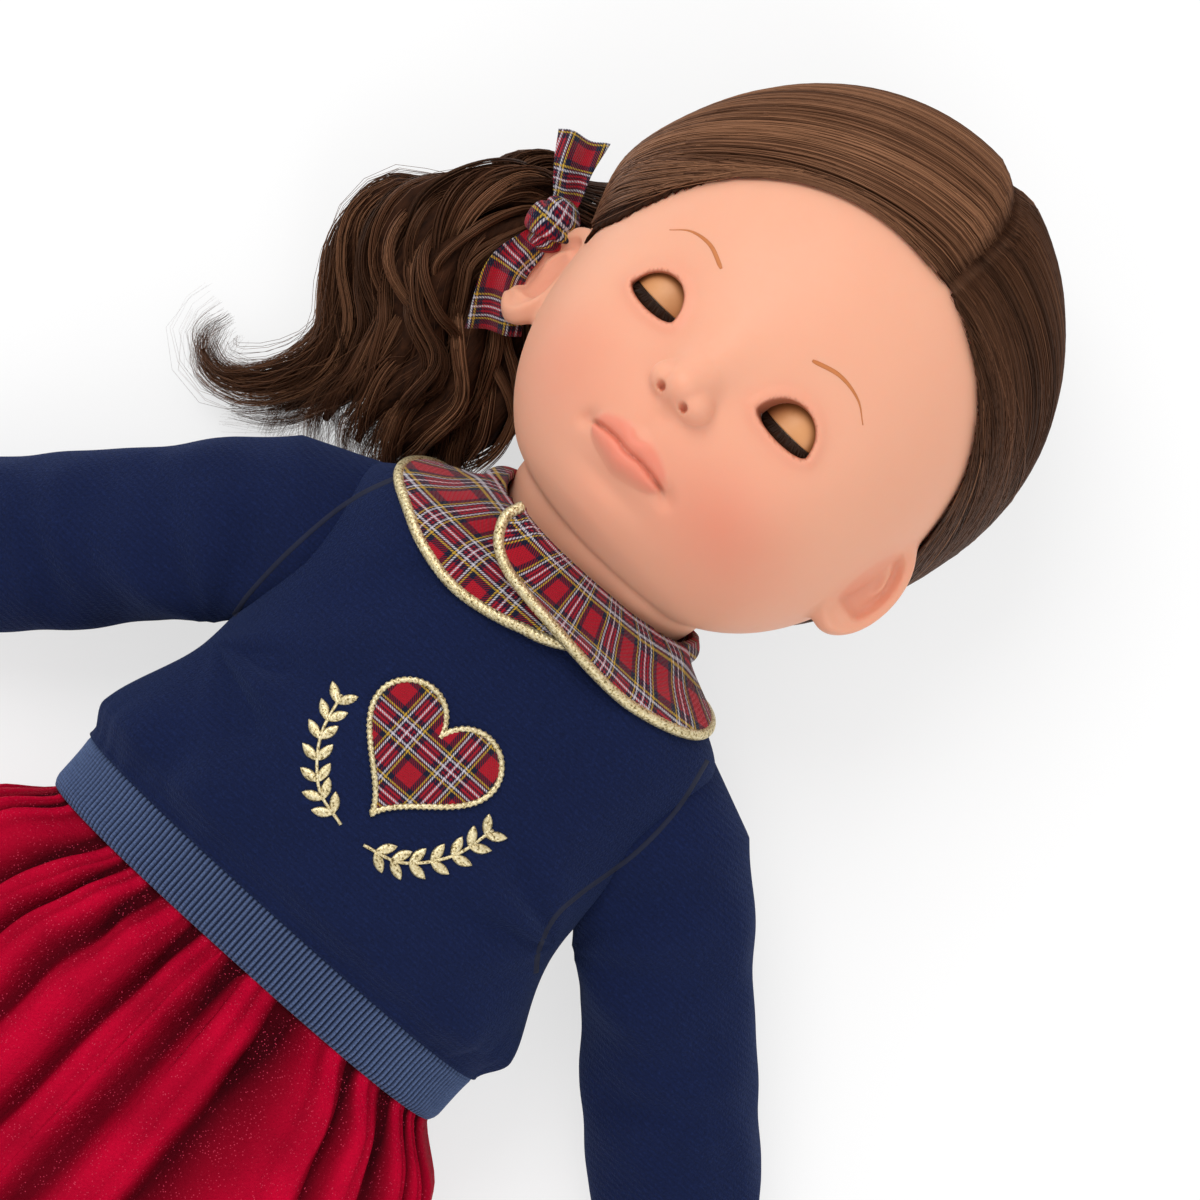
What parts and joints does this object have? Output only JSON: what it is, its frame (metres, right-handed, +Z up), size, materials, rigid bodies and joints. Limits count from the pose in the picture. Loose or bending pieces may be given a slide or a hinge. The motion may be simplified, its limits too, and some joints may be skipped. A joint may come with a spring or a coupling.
{
  "type": "play doll",
  "caption": "Soft-bodied play doll lying on its back, with sleep eyes, a side ponytail, a collared sweatshirt and a gathered tulle skirt.",
  "frame": {"origin": "middle of the flat of the sweatshirt's back, where the lying doll rests on the table", "axes": "+X to the doll's left, +Y to its crown, +Z up from the table, out of the doll's front"},
  "size_m": [0.2856, 0.3611, 0.1021],
  "materials": {
    "vinyl_skin": "soft satin vinyl, peach, with blush on the cheeks and coral lips",
    "eyelid_plastic": "smooth caramel plastic lid",
    "eye_white": "glossy off-white",
    "iris": "clear glossy brown",
    "lash_fibre": "dark brown bristle",
    "eye_case_plastic": "plain moulded plastic",
    "axle_steel": "plain wire",
    "weight_metal": "plain cast metal",
    "hair": "dark brown synthetic fibre with a satin sheen",
    "elastic": "matt dark band",
    "tartan": "woven check of red, dark blue, green and cream",
    "gold_piping": "pale gold metallic cord",
    "navy_fleece": "brushed navy knit",
    "navy_rib": "fine rib knit, lighter blue",
    "cloth_body": "plain woven cotton over stuffing",
    "tie_plastic": "plain nylon",
    "red_tulle": "fine shimmering net",
    "red_satin": "satin",
    "shoe": "smooth coated cloth",
    "shoe_sole": "matt moulded sole"
  },
  "bodies": {
    "trunk": {"cloth_trunk": "cloth_body", "sweatshirt_body": "navy_fleece", "sweatshirt_waist_rib": "navy_rib", "collar_left": "tartan", "collar_right": "tartan", "collar_piping_left": "gold_piping", "collar_piping_right": "gold_piping", "skirt_waistband": "red_satin", "skirt_tulle": "red_tulle", "skirt_lining": "red_satin", "neck_tie": "tie_plastic", "shoulder_tie_left": "tie_plastic", "shoulder_tie_right": "tie_plastic", "hip_tie_left": "tie_plastic", "hip_tie_right": "tie_plastic"},
    "head": {"head_shell": "vinyl_skin", "eye_case_left": "eye_case_plastic", "eye_case_right": "eye_case_plastic", "hair_cap": "hair", "ponytail": "hair", "hair_elastic": "elastic", "bow_knot": "tartan", "bow_tail_upper": "tartan", "bow_tail_lower": "tartan"},
    "eye_left": {"eyeball_left": "eye_white", "eyelid_left": "eyelid_plastic", "eye_iris_left": "iris", "eye_lashes_left": "lash_fibre", "eye_axle_left": "axle_steel", "eye_weight_left": "weight_metal"},
    "eye_right": {"eyeball_right": "eye_white", "eyelid_right": "eyelid_plastic", "eye_iris_right": "iris", "eye_lashes_right": "lash_fibre", "eye_axle_right": "axle_steel", "eye_weight_right": "weight_metal"},
    "arm_left": {"arm_left": "vinyl_skin", "sleeve_left": "navy_fleece", "sleeve_cuff_left": "navy_rib"},
    "leg_left": {"leg_left": "vinyl_skin", "shoe_upper_left": "shoe", "shoe_sole_left": "shoe_sole"},
    "arm_right": {"arm_right": "vinyl_skin", "sleeve_right": "navy_fleece", "sleeve_cuff_right": "navy_rib"},
    "leg_right": {"leg_right": "vinyl_skin", "shoe_upper_right": "shoe", "shoe_sole_right": "shoe_sole"}
  },
  "joints": [
    {"name": "head_turn", "type": "hinge", "parent": "trunk", "child": "head", "pos_m": [0, 0.041, 0.036], "axis": [0, 1, 0], "range_deg": [-12, 75]},
    {"name": "shoulder_left", "type": "hinge", "parent": "trunk", "child": "arm_left", "pos_m": [0.048, 0.023, 0.03], "axis": [-1, 0, 0], "range_deg": [0, 110], "deforming": ["sleeve_left"]},
    {"name": "shoulder_right", "type": "hinge", "parent": "trunk", "child": "arm_right", "pos_m": [-0.048, 0.023, 0.03], "axis": [-1, 0, 0], "range_deg": [0, 110], "deforming": ["sleeve_right"]},
    {"name": "hip_left", "type": "hinge", "parent": "trunk", "child": "leg_left", "pos_m": [0.026, -0.07, 0.029], "axis": [-1, 0, 0], "range_deg": [0, 90], "deforming": ["skirt_tulle", "skirt_lining"]},
    {"name": "hip_right", "type": "hinge", "parent": "trunk", "child": "leg_right", "pos_m": [-0.026, -0.07, 0.029], "axis": [-1, 0, 0], "range_deg": [0, 90], "deforming": ["skirt_tulle", "skirt_lining"]},
    {"name": "eye_left", "type": "hinge", "parent": "head", "child": "eye_left", "pos_m": [0.01314, 0.10117, 0.08357], "axis": [-0.9775, 0.0698, -0.1989], "range_deg": [0, 58]},
    {"name": "eye_right", "type": "hinge", "parent": "head", "child": "eye_right", "pos_m": [-0.02206, 0.10368, 0.07641], "axis": [-0.9775, 0.0698, -0.1989], "range_deg": [0, 58]}
  ]
}
